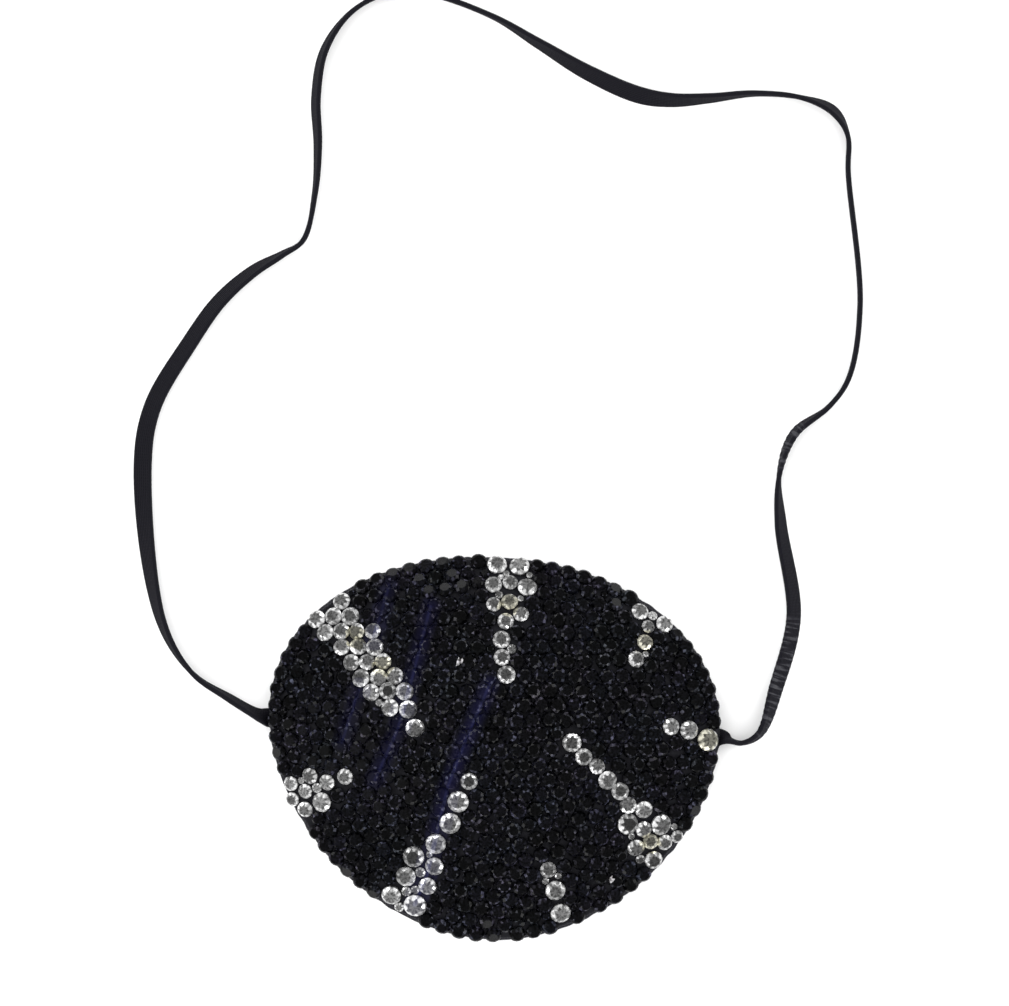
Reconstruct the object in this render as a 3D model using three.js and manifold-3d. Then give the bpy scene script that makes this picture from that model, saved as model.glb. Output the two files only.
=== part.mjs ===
// A costume eye patch. A stiff oval dome is covered in black fabric and lined with felt, and its whole
// front is set with small jet flat-back stones. Eight rays of clear crystals run in from its edge. A
// thin flat elastic is stitched to the back at both sides and makes one loop round the head.
//
// Millimetres. The patch lies face up: +Z is out of its front, +Y towards the wearer's brow. The
// origin is the middle of its underside, on the surface that it lies on.

import * as THREE from "three";
import { mergeVertices } from "three/addons/utils/BufferGeometryUtils.js";
import Module from "manifold-3d";

const wasm = await Module();
wasm.setup();

// ---- Outline: half an ellipse above the widest line, a slightly leaner curve below it ----
const PATCH_WIDTH = 76.4;
const BROW_DEPTH = 28; // from the widest line up to the top edge
const CHEEK_DEPTH = 37; // from the widest line down to the bottom edge
const BROW_POWER = 2.08;
const CHEEK_POWER = 1.85;
const LEAN = 0.0475; // the outline leans towards -X as it rises,
const LEAN_GROWTH = 0.00094; // and more so near the top
const WIDEST_Y = (CHEEK_DEPTH - BROW_DEPTH) / 2; // puts the origin midway between top and bottom

// ---- Dome: the layers lie one on another over a hollow that clears the eyelid ----
const HOLLOW_HEIGHT = 8.4;
const DOME_POWER = 2.4; // fuller than a parabola, so the middle is flatter and the rim steeper
const LINING = 0.8;
const SHELL = 1.0;
const COVER = 0.45;
const ADHESIVE = 0.2;
const JET_STONES = 1.1;
const LAYER_GAP = 0.06;
const DOME_SEGMENTS = 40;

// The layers' rings, as shares of the outline's radius. The outer layers go on over the binding.
const INNER_RINGS = [0, 0.28, 0.5, 0.68, 0.82, 0.925];
const OUTER_RINGS = [...INNER_RINGS, 0.985];

// ---- Edge: a folded fabric binding that closes the layers and stands on the surface ----
const BINDING_START = 0.935; // a share of the outline's radius
const BINDING_ROUNDING = 0.015; // the same, taken off its outer corners

// ---- Stones ----
const CRYSTAL_SIDES = 8;
const TABLE_SHARE = 0.55; // the flat top's diameter over the stone's
const HEIGHT_SHARE = 0.4; // the stone's height over its diameter
const STONE_GAP = 0.25;
const POCKET_GAP = 0.3;
const CLUSTER_STRIP = 0.35; // the film of glue that joins a cluster's stones
const CLUSTER_SINK = 0.2;

// ---- Elastic ----
const BAND_WIDTH = 3.2;
const BAND_THICKNESS = 0.85;
const BAND_STEPS = 80;
const END_STEPS = 8;
const END_CLEARANCE = 0.4; // round an end, where it passes through the binding
const END_HEIGHT = 0.5; // of an end's middle, where it passes through the binding
const END_BELOW_LINING = 0.95; // from the lining down to an end's middle, where it is stitched on

// The crystals of each ray, from the edge of the patch inwards: x, y and diameter.
const RAYS = {
  top: [
    [0.4, 30.9, 3.2], [4.1, 30.4, 3.2], [0.1, 27.7, 2.7], [2.6, 28.2, 2.4], [5.4, 27.2, 3.1],
    [0.2, 24.4, 2.4], [2.4, 24.6, 2.6], [4.3, 22.9, 2.5], [1.9, 21.6, 2.6], [1.2, 18.5, 2.8],
    [1.3, 15.5, 2.6], [2.0, 12.8, 2.9],
  ],
  upper_right: [
    [24.6, 22.8, 2.9], [28.0, 20.9, 2.9], [26.1, 20.7, 2.2], [25.3, 18.3, 2.7], [23.7, 15.2, 2.7],
  ],
  right: [[35.8, 1.6, 3.6], [32.6, 3.3, 3.0], [29.6, 3.9, 2.7]],
  bottom_right: [[11.1, -27.4, 3.3], [10.2, -23.5, 3.3], [9.0, -20.0, 2.6]],
  lower_left: [
    [-13.3, -26.1, 3.8], [-17.3, -24.4, 3.3], [-11.2, -22.8, 2.9], [-14.8, -21.2, 3.3],
    [-10.0, -19.4, 3.0], [-13.5, -17.8, 3.5], [-9.8, -15.6, 3.3], [-7.4, -12.1, 3.4],
    [-6.0, -8.5, 3.4], [-4.2, -5.1, 2.7],
  ],
  left: [
    [-32.0, -9.8, 2.6], [-33.6, -8.2, 2.3], [-28.9, -8.8, 3.2], [-34.1, -6.0, 2.4],
    [-31.8, -6.8, 2.4], [-31.0, -4.6, 2.6], [-28.0, -5.4, 2.6], [-25.0, -4.4, 2.6],
  ],
};

// Two rays whose stones are set so closely that one film of glue joins each ray into a cluster.
const CLUSTERS = {
  upper_left: [
    [-25.7, 24.7, 2.6], [-29.5, 21.8, 2.7], [-27.2, 22.4, 2.6], [-24.2, 22.3, 2.7], [-27.8, 19.7, 2.6],
    [-25.5, 19.8, 2.5], [-23.1, 19.7, 2.4], [-20.9, 19.5, 2.4], [-25.3, 17.2, 2.5], [-23.0, 17.2, 2.5],
    [-20.5, 17.0, 2.6], [-23.6, 14.9, 2.4], [-21.3, 14.9, 2.4], [-18.9, 14.7, 2.4], [-21.9, 12.4, 2.7],
    [-19.4, 12.5, 2.5], [-17.0, 12.2, 2.5], [-20.2, 9.9, 2.5], [-17.8, 10.0, 2.5], [-15.2, 9.9, 2.6],
    [-17.3, 7.5, 2.6], [-14.6, 7.0, 2.7], [-13.3, 3.9, 2.8],
  ],
  lower_right: [
    [30.4, -15.3, 1.8], [28.3, -15.4, 2.3], [26.7, -18.5, 2.7], [24.6, -16.1, 2.6], [26.6, -15.6, 2.2],
    [27.7, -12.6, 3.2], [25.1, -13.2, 2.4], [22.4, -12.1, 3.2], [24.9, -9.9, 2.6], [22.3, -9.2, 2.5],
    [21.0, -7.0, 2.6], [19.0, -5.0, 2.8], [17.3, -2.9, 2.3], [14.9, -1.0, 2.5], [13.0, 1.4, 2.8],
  ],
};

// The elastic's route on the surface, from the left edge round to the right one: x, y and roll in
// degrees. At roll 0 the band lies flat, and at 90 it stands on its edge.
const BAND_ROUTE = [
  [-39.4, 5.6, 55], [-44.9, 8.7, 78], [-51, 12.8, 92], [-56.2, 21.5, 113], [-59.4, 46.8, 157],
  [-57.8, 57.5, 152], [-51.4, 68.6, 142], [-46.3, 75.7, 134], [-40.6, 80.7, 121], [-35.9, 83.4, 103],
  [-32.3, 85.8, 91], [-30.3, 93.7, 97], [-29.8, 101.9, 106], [-30.1, 110, 110], [-28.7, 117.9, 107],
  [-24.4, 124.1, 96], [-18.5, 127.4, 91], [-12, 127.6, 90], [-0.5, 123.7, 89], [7.5, 119, 71],
  [15.8, 114.1, 48], [24.3, 110.4, 39], [29.8, 109.5, 55], [36.3, 109.8, 73], [44, 110.6, 87],
  [51.8, 109.9, 95], [57.2, 107.7, 113], [59.6, 103.6, 94], [59.7, 97.2, 91], [61.7, 75, 90],
  [59.8, 62.6, 90], [56.5, 57.8, 90], [50.6, 53.2, 74], [48.1, 46.4, 90], [48.3, 38, 120],
  [50.5, 22.4, 132], [47.5, 10.2, 131], [44.8, 2.6, 105], [41.8, 1, 92], [39.4, 1.5, 76],
];

// The elastic's ends, where they enter the patch.
const LEFT_END_Y = 5.2;
const RIGHT_END_Y = 1.8;

// ---- Materials ----
const stoneJet = () => new THREE.MeshStandardMaterial({ color: 0x0b0c14, roughness: 0.15, metalness: 0.2 });
const stoneClear = () => new THREE.MeshStandardMaterial({ color: 0xd9dbe0, roughness: 0.1, metalness: 0.6 });
const fabricBlack = () => new THREE.MeshStandardMaterial({ color: 0x17171c, roughness: 0.9, metalness: 0 });
const feltBlack = () => new THREE.MeshStandardMaterial({ color: 0x1c1c20, roughness: 1, metalness: 0 });
const elasticBlack = () => new THREE.MeshStandardMaterial({ color: 0x25242b, roughness: 0.8, metalness: 0 });
const shellGrey = () => new THREE.MeshStandardMaterial({ color: 0x3a3a3c, roughness: 0.7, metalness: 0 });
const glueClear = () => new THREE.MeshStandardMaterial({ color: 0x55565a, roughness: 0.4, metalness: 0 });

// ---- The patch's surface ----

// The distance from the middle of the widest line to the outline, at an angle from +X.
function rimRadius(angle) {
  const aboveWidest = Math.sin(angle) >= 0;
  const power = aboveWidest ? BROW_POWER : CHEEK_POWER;
  const depth = aboveWidest ? BROW_DEPTH : CHEEK_DEPTH;
  const across = Math.abs(Math.cos(angle)) / (PATCH_WIDTH / 2);
  const along = Math.abs(Math.sin(angle)) / depth;
  return (across ** power + along ** power) ** (-1 / power);
}

// How far the outline is shifted sideways, at a distance above the widest line.
function leanAt(aboveWidest) {
  return -(LEAN + LEAN_GROWTH * aboveWidest) * aboveWidest;
}

// The hollow's height where share is 0 in the middle and 1 on the outline.
function hollowHeight(share) {
  return HOLLOW_HEIGHT * (1 - share ** DOME_POWER);
}

// The point of the dome above (x, y), lift above the hollow.
function domePoint(x, y, lift) {
  const aboveWidest = y - WIDEST_Y;
  const aside = x - leanAt(aboveWidest);
  const share = Math.hypot(aside, aboveWidest) / rimRadius(Math.atan2(aboveWidest, aside));
  return new THREE.Vector3(x, y, hollowHeight(share) + lift);
}

// The direction that the dome faces above (x, y).
function domeNormal(x, y) {
  const step = 0.1;
  const alongX = domePoint(x + step, y, 0).sub(domePoint(x - step, y, 0));
  const alongY = domePoint(x, y + step, 0).sub(domePoint(x, y - step, 0));
  return alongX.cross(alongY).normalize();
}

// ---- Solids ----

// Spreads a turned shape of radius 1 out to the patch's outline.
function ovalFromRound(geometry) {
  const position = geometry.getAttribute("position");
  for (let i = 0; i < position.count; i += 1) {
    const x = position.getX(i);
    const y = position.getY(i);
    const stretch = rimRadius(Math.atan2(y, x));
    const aboveWidest = y * stretch;
    position.setXY(i, x * stretch + leanAt(aboveWidest), aboveWidest + WIDEST_Y);
  }
  return geometry;
}

// Turns a profile of [share, height] points round the patch.
function turned(profile) {
  const points = profile.map(([share, height]) => new THREE.Vector2(share, height));
  const round = new THREE.LatheGeometry(points, DOME_SEGMENTS);
  return ovalFromRound(round.rotateX(Math.PI / 2));
}

// One layer of the dome, its underside lift above the hollow.
function domeLayer(lift, thickness, rings) {
  const under = rings.map((share) => [share, hollowHeight(share) + lift]);
  const over = under.map(([share, height]) => [share, height + thickness]);
  return turned([...under, ...over.reverse()]);
}

function solidFrom(geometry) {
  const bare = geometry.clone();
  bare.deleteAttribute("normal");
  bare.deleteAttribute("uv");
  const merged = mergeVertices(bare, 1e-4);
  const vertProperties = new Float32Array(merged.getAttribute("position").array);
  const triVerts = new Uint32Array(merged.index.array);
  return new wasm.Manifold(new wasm.Mesh({ numProp: 3, vertProperties, triVerts }));
}

function geometryFrom(solid) {
  const { vertProperties, triVerts } = solid.getMesh();
  const geometry = new THREE.BufferGeometry();
  geometry.setAttribute("position", new THREE.BufferAttribute(vertProperties, 3));
  geometry.setIndex(new THREE.BufferAttribute(triVerts, 1));
  geometry.computeVertexNormals();
  return geometry;
}

// ---- Stones ----

// Nudges stones apart until each clears its neighbours by STONE_GAP.
function spreadOut(stones) {
  const placed = stones.map((stone) => [...stone]);
  for (let round = 0; round < 40; round += 1) {
    placed.forEach((one, i) => {
      for (const other of placed.slice(i + 1)) {
        const dx = other[0] - one[0];
        const dy = other[1] - one[1];
        const distance = Math.hypot(dx, dy);
        const push = ((one[2] + other[2]) / 2 + STONE_GAP - distance) / 2;
        if (push <= 0) continue;
        one[0] -= (dx / distance) * push;
        one[1] -= (dy / distance) * push;
        other[0] += (dx / distance) * push;
        other[1] += (dy / distance) * push;
      }
    });
  }
  return placed;
}

// A flat-back stone that stands on z = 0.
function stoneGeometry(diameter) {
  const height = diameter * HEIGHT_SHARE;
  const girdle = diameter / 2;
  const stone = new THREE.CylinderGeometry(girdle * TABLE_SHARE, girdle, height, CRYSTAL_SIDES);
  return stone.rotateX(Math.PI / 2).translate(0, 0, height / 2);
}

// A stone standing square to the dome, its back at lift.
function stoneMesh([x, y, diameter], lift) {
  const mesh = new THREE.Mesh(stoneGeometry(diameter), stoneClear());
  mesh.position.copy(domePoint(x, y, lift));
  mesh.quaternion.setFromUnitVectors(new THREE.Vector3(0, 0, 1), domeNormal(x, y));
  return mesh;
}

// The convex outline round a ray's stones, margin away from them, by walking the points left to
// right and dropping each one that the outline passes outside.
function outlineRound(stones, margin) {
  const points = [];
  for (const [x, y, diameter] of stones) {
    for (let corner = 0; corner < CRYSTAL_SIDES; corner += 1) {
      const angle = ((corner + 0.5) / CRYSTAL_SIDES) * 2 * Math.PI;
      const reach = (diameter / 2 + margin) / Math.cos(Math.PI / CRYSTAL_SIDES);
      points.push(new THREE.Vector2(x + reach * Math.cos(angle), y + reach * Math.sin(angle)));
    }
  }
  points.sort((a, b) => a.x - b.x || a.y - b.y);
  const turnsLeft = (a, b, c) => b.clone().sub(a).cross(c.clone().sub(b)) > 0;
  const halfOutline = (walk) => {
    const kept = [];
    for (const point of walk) {
      while (kept.length > 1 && !turnsLeft(kept.at(-2), kept.at(-1), point)) kept.pop();
      kept.push(point);
    }
    return kept.slice(0, -1);
  };
  return [...halfOutline(points), ...halfOutline([...points].reverse())];
}

// An upright block with that outline, taller than the patch.
function blockRound(stones, margin) {
  const shape = new THREE.Shape(outlineRound(stones, margin));
  const tall = 3 * HOLLOW_HEIGHT;
  const block = new THREE.ExtrudeGeometry(shape, { depth: tall, bevelEnabled: false });
  return solidFrom(block.translate(0, 0, -tall / 4));
}

// ---- Elastic ----

// The flat section of the elastic, with its corners taken off.
function bandSection() {
  const side = BAND_WIDTH / 2;
  const face = BAND_THICKNESS / 2;
  const corner = 0.2;
  const quarter = [[side, face - corner], [side - corner, face]];
  const upper = [...quarter, ...quarter.map(([x, y]) => [-x, y]).reverse()];
  const lower = upper.map(([x, y]) => [x, -y]).reverse();
  return new THREE.Shape([...upper, ...lower].map(([x, y]) => new THREE.Vector2(x, y)));
}

// A smooth route that also says how far the band is rolled about it at each step.
class BandPath extends THREE.CatmullRomCurve3 {
  constructor(points, rolls) {
    super(points, false, "centripetal");
    this.rolls = rolls;
  }

  rollAt(t) {
    const place = t * (this.rolls.length - 1);
    const before = Math.min(Math.floor(place), this.rolls.length - 2);
    return THREE.MathUtils.lerp(this.rolls[before], this.rolls[before + 1], place - before);
  }

  computeFrenetFrames(steps) {
    const up = new THREE.Vector3(0, 0, 1);
    const frames = { tangents: [], normals: [], binormals: [] };
    for (let i = 0; i <= steps; i += 1) {
      const t = this.getUtoTmapping(i / steps);
      const tangent = this.getTangent(t);
      const sideways = new THREE.Vector3().crossVectors(up, tangent).normalize();
      const normal = sideways.applyAxisAngle(tangent, THREE.MathUtils.degToRad(this.rollAt(t)));
      frames.tangents.push(tangent);
      frames.normals.push(normal);
      frames.binormals.push(new THREE.Vector3().crossVectors(tangent, normal));
    }
    return frames;
  }
}

function bandAlong(path, steps) {
  return new THREE.ExtrudeGeometry(bandSection(), { steps, extrudePath: path });
}

// The height of the band's middle when its lower corner rests on the surface.
function restingHeight(roll) {
  const turn = THREE.MathUtils.degToRad(roll);
  const tall = BAND_WIDTH * Math.abs(Math.sin(turn)) + BAND_THICKNESS * Math.abs(Math.cos(turn));
  return tall / 2 + 0.03;
}

function elasticStrap() {
  const points = BAND_ROUTE.map(([x, y, roll]) => new THREE.Vector3(x, y, restingHeight(roll)));
  const rolls = BAND_ROUTE.map(([, , roll]) => roll);
  return bandAlong(new BandPath(points, rolls), BAND_STEPS);
}

// A point of an end of the elastic, which comes in through the binding and then climbs the lining.
// side is -1 for the left end and 1 for the right one.
function endPoint(side, share) {
  const x = side * share * (PATCH_WIDTH / 2);
  const z = Math.max(END_HEIGHT, hollowHeight(share) - END_BELOW_LINING);
  return new THREE.Vector3(x, 0, z);
}

function elasticEnd(side) {
  const points = [1.018, 0.97, 0.94, 0.9, 0.85, 0.79].map((share) => endPoint(side, share));
  return bandAlong(new BandPath(points, points.map(() => 0)), END_STEPS);
}

// A bar of zigzag thread across an end, on the side that faces the wearer.
function barTack(side) {
  const [length, width, thickness] = [1.2, 2.8, 0.35];
  const start = endPoint(side, 0.86);
  const slope = endPoint(side, 0.83).sub(start);
  const angle = Math.atan2(slope.z, Math.abs(slope.x));
  const drop = (BAND_THICKNESS + thickness) / 2 + LAYER_GAP;
  const tack = new THREE.Mesh(new THREE.BoxGeometry(length, width, thickness), fabricBlack());
  tack.rotation.y = side * angle;
  tack.position.copy(start).addScaledVector(slope, 0.5);
  tack.position.x -= side * drop * Math.sin(angle);
  tack.position.z -= drop * Math.cos(angle);
  return tack;
}

// ---- Edge ----

// The binding's section stands on the surface, rounds over outside, and carries the cover on top.
function edgeBinding(top) {
  const corner = 1 - BINDING_ROUNDING;
  const outline = [
    [BINDING_START, 0],
    [corner, 0],
    [1, 0.45],
    [1, top - 0.5],
    [corner, hollowHeight(corner) + top],
    [BINDING_START, hollowHeight(BINDING_START) + top],
    [BINDING_START, 0],
  ];
  const ring = solidFrom(turned(outline));
  const slot = new THREE.BoxGeometry(
    PATCH_WIDTH * (1 - BINDING_START) + 2 * END_CLEARANCE,
    BAND_WIDTH + 2 * END_CLEARANCE,
    2 * (END_HEIGHT + BAND_THICKNESS / 2 + END_CLEARANCE),
  );
  const left = solidFrom(slot.clone().translate(-PATCH_WIDTH / 2, LEFT_END_Y, 0));
  const right = solidFrom(slot.clone().translate(PATCH_WIDTH / 2, RIGHT_END_Y, 0));
  return geometryFrom(ring.subtract(left).subtract(right));
}

// ---- Assembly ----

const patch = new THREE.Group();

function add(name, object, material) {
  const mesh = object.isMesh ? object : new THREE.Mesh(object, material);
  mesh.name = name;
  patch.add(mesh);
  return mesh;
}

const shellLift = LINING + LAYER_GAP;
const coverLift = shellLift + SHELL + LAYER_GAP;
const adhesiveLift = coverLift + COVER + LAYER_GAP;
const stoneLift = adhesiveLift + ADHESIVE + LAYER_GAP;

add("back_lining", domeLayer(0, LINING, INNER_RINGS), feltBlack());
add("moulded_shell", domeLayer(shellLift, SHELL, INNER_RINGS), shellGrey());
add("edge_binding", edgeBinding(coverLift - LAYER_GAP), fabricBlack());
add("front_cover", domeLayer(coverLift, COVER, OUTER_RINGS), fabricBlack());
add("adhesive_bed", domeLayer(adhesiveLift, ADHESIVE, OUTER_RINGS), glueClear());

let jetField = solidFrom(domeLayer(stoneLift, JET_STONES, OUTER_RINGS));
for (const stones of [...Object.values(RAYS), ...Object.values(CLUSTERS)]) {
  jetField = jetField.subtract(blockRound(spreadOut(stones), POCKET_GAP));
}
add("jet_stone_field", geometryFrom(jetField), stoneJet());

for (const [ray, stones] of Object.entries(RAYS)) {
  spreadOut(stones).forEach((stone, i) => {
    const number = String(i + 1).padStart(2, "0");
    add(`crystal_${ray}_${number}`, stoneMesh(stone, stoneLift + LAYER_GAP));
  });
}

for (const [ray, stones] of Object.entries(CLUSTERS)) {
  const set = spreadOut(stones);
  const film = solidFrom(domeLayer(stoneLift, CLUSTER_STRIP, OUTER_RINGS));
  let cluster = film.intersect(blockRound(set, 0));
  for (const stone of set) {
    const mesh = stoneMesh(stone, stoneLift + CLUSTER_STRIP - CLUSTER_SINK);
    mesh.updateMatrix();
    cluster = cluster.add(solidFrom(mesh.geometry.applyMatrix4(mesh.matrix)));
  }
  add(`crystal_cluster_${ray}`, geometryFrom(cluster), stoneClear());
}

add("elastic_strap", elasticStrap(), elasticBlack());
add("elastic_end_left", elasticEnd(-1), elasticBlack()).position.y = LEFT_END_Y;
add("elastic_end_right", elasticEnd(1), elasticBlack()).position.y = RIGHT_END_Y;
add("bar_tack_left", barTack(-1)).position.y = LEFT_END_Y;
add("bar_tack_right", barTack(1)).position.y = RIGHT_END_Y;

export default patch;
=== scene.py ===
"""Looks for a costume eye patch: its stones, fabric, felt, stitching and elastic, round the CAD frame.

Lengths are in millimetres until a mesh is made, which is in metres, as the lights are.
"""

import math

import bpy
import numpy as np
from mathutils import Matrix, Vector


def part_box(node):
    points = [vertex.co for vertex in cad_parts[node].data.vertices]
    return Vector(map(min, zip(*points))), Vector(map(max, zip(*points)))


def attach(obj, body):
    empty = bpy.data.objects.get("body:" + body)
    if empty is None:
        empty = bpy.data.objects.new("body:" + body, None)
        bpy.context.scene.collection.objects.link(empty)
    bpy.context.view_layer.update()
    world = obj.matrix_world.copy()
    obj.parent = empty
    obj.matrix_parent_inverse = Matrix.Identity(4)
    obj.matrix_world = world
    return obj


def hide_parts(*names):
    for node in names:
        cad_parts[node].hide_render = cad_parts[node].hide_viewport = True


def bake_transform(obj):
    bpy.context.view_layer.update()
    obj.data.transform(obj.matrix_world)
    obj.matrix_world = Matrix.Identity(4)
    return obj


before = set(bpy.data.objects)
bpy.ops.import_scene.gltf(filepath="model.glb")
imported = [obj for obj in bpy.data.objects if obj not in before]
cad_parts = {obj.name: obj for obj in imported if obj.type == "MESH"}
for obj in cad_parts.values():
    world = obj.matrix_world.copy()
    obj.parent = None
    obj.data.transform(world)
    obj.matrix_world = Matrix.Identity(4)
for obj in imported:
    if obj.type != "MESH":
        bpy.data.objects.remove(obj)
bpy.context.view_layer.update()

MM = 0.001
rng = np.random.default_rng(7)

# ---------------------------------------------------------------------------------------------
# The patch's outline and dome, fitted to the frame
# ---------------------------------------------------------------------------------------------
WIDEST_SHARE = 37 / 65      # of the patch's height, from its lower edge up to its widest line
BROW_POWER = 2.08           # the outline is half an ellipse above its widest line,
CHEEK_POWER = 1.85          # and a leaner curve below it
LEAN = 0.0475               # it leans towards -X as it rises,
LEAN_GROWTH = 0.00094       # and more so near the top
DOME_POWER = 2.4
LINING = 0.8

rim_low, rim_high = [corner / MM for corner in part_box("edge_binding")]
HALF_WIDTH = (rim_high.x - rim_low.x) / 2
CHEEK_DEPTH = WIDEST_SHARE * (rim_high.y - rim_low.y)
BROW_DEPTH = (rim_high.y - rim_low.y) - CHEEK_DEPTH
WIDEST_Y = rim_low.y + CHEEK_DEPTH


def crown_of(node):
    """The height of the highest point of a CAD layer."""
    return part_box(node)[1].z / MM


HOLLOW_HEIGHT = crown_of("back_lining") - LINING
COVER_TOP = crown_of("front_cover") - HOLLOW_HEIGHT
STONE_BACK = crown_of("adhesive_bed") - HOLLOW_HEIGHT


def rim_radius(angle):
    above = np.sin(angle) >= 0
    power = np.where(above, BROW_POWER, CHEEK_POWER)
    depth = np.where(above, BROW_DEPTH, CHEEK_DEPTH)
    across = np.abs(np.cos(angle)) / HALF_WIDTH
    along = np.abs(np.sin(angle)) / depth
    return (across ** power + along ** power) ** (-1 / power)


def lean_at(above_widest):
    return -(LEAN + LEAN_GROWTH * above_widest) * above_widest


def hollow_height(share):
    return HOLLOW_HEIGHT * (1 - share ** DOME_POWER)


def shares_of(points):
    """How far out points lie: 0 in the middle, 1 on the outline."""
    above = points[:, 1] - WIDEST_Y
    aside = points[:, 0] - lean_at(above)
    return np.hypot(aside, above) / rim_radius(np.arctan2(above, aside))


def at_shares(shares, angles):
    """The points at those shares of the outline's radius."""
    reach = shares * rim_radius(angles)
    above = reach * np.sin(angles)
    return np.column_stack([reach * np.cos(angles) + lean_at(above), above + WIDEST_Y])


def on_dome(points, lift):
    """Points raised to the dome, lift above its hollow."""
    return np.column_stack([points[:, :2], hollow_height(shares_of(points)) + lift])


def dome_normals(points):
    step = 0.1
    right = on_dome(points[:, :2] + [step, 0], 0) - on_dome(points[:, :2] - [step, 0], 0)
    upward = on_dome(points[:, :2] + [0, step], 0) - on_dome(points[:, :2] - [0, step], 0)
    normals = np.cross(right, upward)
    return normals / np.linalg.norm(normals, axis=1, keepdims=True)


# ---------------------------------------------------------------------------------------------
# Mesh helpers
# ---------------------------------------------------------------------------------------------
def mesh_object(name, points, faces, smooth=True):
    mesh = bpy.data.meshes.new(name)
    mesh.from_pydata([tuple(point) for point in np.asarray(points, float) * MM], [], faces)
    mesh.polygons.foreach_set("use_smooth", [smooth] * len(mesh.polygons))
    mesh.update()
    made = bpy.data.objects.new(name, mesh)
    bpy.context.scene.collection.objects.link(made)
    return made


def finish_piece(piece, material, slot, *nodes):
    """Gives a piece of the patch its material, and puts it in its CAD nodes' place. The slot is not used."""
    piece.data.materials.append(material)
    if nodes:
        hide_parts(*nodes)
    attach(piece, "patch")
    return piece


def tube_faces(rings, around, closed):
    """Quads that join rings of points, each with the same count of points around."""
    faces = []
    for ring in range(rings if closed else rings - 1):
        start = ring * around
        beyond = ((ring + 1) % rings) * around
        for i in range(around):
            j = (i + 1) % around
            faces.append((start + i, start + j, beyond + j, beyond + i))
    return faces


def smooth_line(points, spacing):
    """A centripetal Catmull-Rom line through points, sampled about that far apart."""
    points = np.asarray(points, float)
    ends = [2 * points[0] - points[1]], [2 * points[-1] - points[-2]]
    knots = np.concatenate([ends[0], points, ends[1]])
    line = []
    for a, b, c, d in zip(knots, knots[1:], knots[2:], knots[3:]):
        t0 = 0
        t1 = t0 + max(np.linalg.norm((b - a)[:3]), 1e-4) ** 0.5
        t2 = t1 + max(np.linalg.norm((c - b)[:3]), 1e-4) ** 0.5
        t3 = t2 + max(np.linalg.norm((d - c)[:3]), 1e-4) ** 0.5
        steps = max(1, round(np.linalg.norm((c - b)[:3]) / spacing))
        for t in np.linspace(t1, t2, steps, endpoint=False):
            ab = (t1 - t) / (t1 - t0) * a + (t - t0) / (t1 - t0) * b
            bc = (t2 - t) / (t2 - t1) * b + (t - t1) / (t2 - t1) * c
            cd = (t3 - t) / (t3 - t2) * c + (t - t2) / (t3 - t2) * d
            abc = (t2 - t) / (t2 - t0) * ab + (t - t0) / (t2 - t0) * bc
            bcd = (t3 - t) / (t3 - t1) * bc + (t - t1) / (t3 - t1) * cd
            line.append((t2 - t) / (t2 - t1) * abc + (t - t1) / (t2 - t1) * bcd)
    line.append(points[-1])
    return np.array(line)


def turned(name, profile, segments, wobble=None):
    """Sweeps a profile of (share, height) points round the outline. A profile that starts and ends
    on the axis makes a domed sheet, and one that doesn't closes on itself and makes a ring."""
    angles = np.linspace(0, 2 * math.pi, segments, endpoint=False)
    sheet = profile[0][0] == 0
    body = profile[1:-1] if sheet else profile
    rings = []
    for share, height in body:
        flat = at_shares(np.full(segments, share), angles)
        rings.append(np.column_stack([flat, np.full(segments, height)]))
    points = np.array(rings)
    if wobble:
        points = wobble(points, angles)
    faces = tube_faces(len(body), segments, closed=not sheet)
    points = points.reshape(-1, 3)
    if sheet:
        under, over = len(points), len(points) + 1
        poles = [[0, WIDEST_Y, profile[0][1]], [0, WIDEST_Y, profile[-1][1]]]
        points = np.concatenate([points, poles])
        last = (len(body) - 1) * segments
        for i in range(segments):
            j = (i + 1) % segments
            faces.append((under, j, i))
            faces.append((over, last + i, last + j))
    return mesh_object(name, points, faces)


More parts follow.
